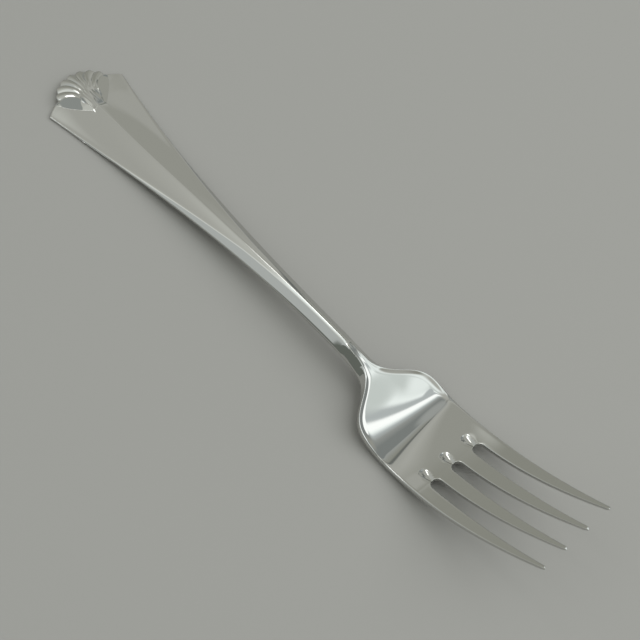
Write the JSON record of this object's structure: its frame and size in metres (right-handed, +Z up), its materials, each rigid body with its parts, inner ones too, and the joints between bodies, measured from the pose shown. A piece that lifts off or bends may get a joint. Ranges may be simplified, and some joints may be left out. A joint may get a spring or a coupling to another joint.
{
  "type": "dinner fork",
  "caption": "Polished dinner fork with a flared, roofed handle ending in a fluted shell, a slim crested shank and a dished head with long tapered tines.",
  "frame": {"origin": "middle of the fork's length and width, on the table it lies on", "axes": "+X along the fork from the shell to the tine tips, +Y across it, +Z up from the table through the dished face"},
  "size_m": [0.2056, 0.0276, 0.0262],
  "materials": {
    "polished_steel": "mirror-polished stainless steel"
  },
  "bodies": {
    "root": {"fork": "polished_steel"}
  },
  "joints": []
}
